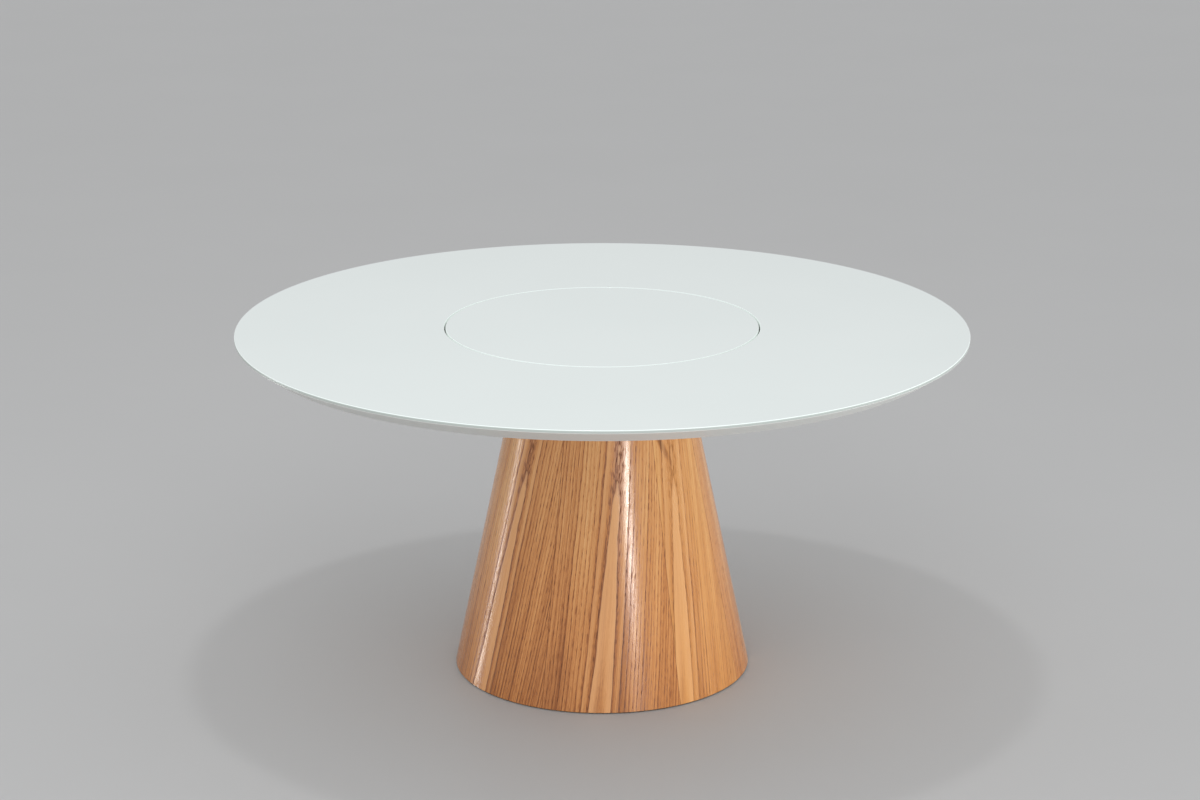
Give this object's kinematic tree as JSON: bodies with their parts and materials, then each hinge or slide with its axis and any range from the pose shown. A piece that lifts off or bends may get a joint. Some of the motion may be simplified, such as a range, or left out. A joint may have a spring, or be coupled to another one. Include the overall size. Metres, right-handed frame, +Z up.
{
  "type": "round dining table",
  "caption": "Round dining table: white painted glass top with an undercut bevelled rim and a flush turntable on a caged ball bearing, on a hollow oak-veneered cone base.",
  "frame": {"origin": "on the floor, under the centre of the table", "axes": "+Z up along the axis of the cone and of the turntable; -Y is the side that the picture shows"},
  "size_m": [1.5998, 1.5998, 0.78],
  "materials": {
    "painted_glass": "white painted on the underside, polished, arrised edges",
    "white_lacquer": "white satin lacquer on fibreboard",
    "carrier_board": "white satin lacquer on fibreboard",
    "oak_veneer": "open-pored oak veneer, honey stain, satin varnish",
    "bent_plywood": "bare bending plywood",
    "plywood": "bare plywood with open layered edges",
    "bearing_aluminium": "extruded, fine-turned",
    "bearing_steel": "polished balls",
    "cage_plastic": "natural nylon",
    "zinc_screws": "zinc plated",
    "zinc_bolts": "zinc plated",
    "insert_brass": "turned",
    "glide_plastic": "dark nylon"
  },
  "bodies": {
    "table": {"glass_ring": "painted_glass", "ring_board": "white_lacquer", "floor_board": "white_lacquer", "sub_top": "white_lacquer", "veneer_leaf_01": "oak_veneer", "veneer_leaf_02": "oak_veneer", "veneer_leaf_03": "oak_veneer", "veneer_leaf_04": "oak_veneer", "veneer_leaf_05": "oak_veneer", "veneer_leaf_06": "oak_veneer", "veneer_leaf_07": "oak_veneer", "cone_panel_01": "bent_plywood", "cone_panel_02": "bent_plywood", "cone_panel_03": "bent_plywood", "cone_panel_04": "bent_plywood", "top_plate": "plywood", "mid_ring": "plywood", "bottom_ring": "plywood", "rib_01": "plywood", "rib_02": "plywood", "rib_03": "plywood", "rib_04": "plywood", "rib_05": "plywood", "rib_06": "plywood", "rib_07": "plywood", "rib_08": "plywood", "bearing_fixed_race": "bearing_aluminium", "sub_top_screws": "zinc_screws", "bearing_screws": "zinc_screws", "rib_screws": "zinc_screws", "glide_screws": "zinc_screws", "mounting_bolts": "zinc_bolts", "bolt_washers": "zinc_bolts", "threaded_inserts": "insert_brass", "glide_01": "glide_plastic", "glide_02": "glide_plastic", "glide_03": "glide_plastic", "glide_04": "glide_plastic", "glide_05": "glide_plastic", "glide_06": "glide_plastic", "glide_07": "glide_plastic", "glide_08": "glide_plastic"},
    "turntable": {"turntable_glass": "painted_glass", "turntable_carrier": "carrier_board", "carrier_screws": "zinc_screws", "bearing_turning_race": "bearing_aluminium"},
    "ball_cage": {"bearing_cage": "cage_plastic", "bearing_balls": "bearing_steel"}
  },
  "joints": [
    {"name": "turntable_spin", "type": "hinge", "parent": "table", "child": "turntable", "pos_m": [0, 0, 0.7605], "axis": [0, 0, 1], "continuous": true},
    {"name": "cage_spin", "type": "hinge", "parent": "table", "child": "ball_cage", "pos_m": [0, 0, 0.7605], "axis": [0, 0, 1], "continuous": true}
  ],
  "couplings": [
    {"joint": "cage_spin", "follows": "turntable_spin", "ratio": 0.48958}
  ]
}
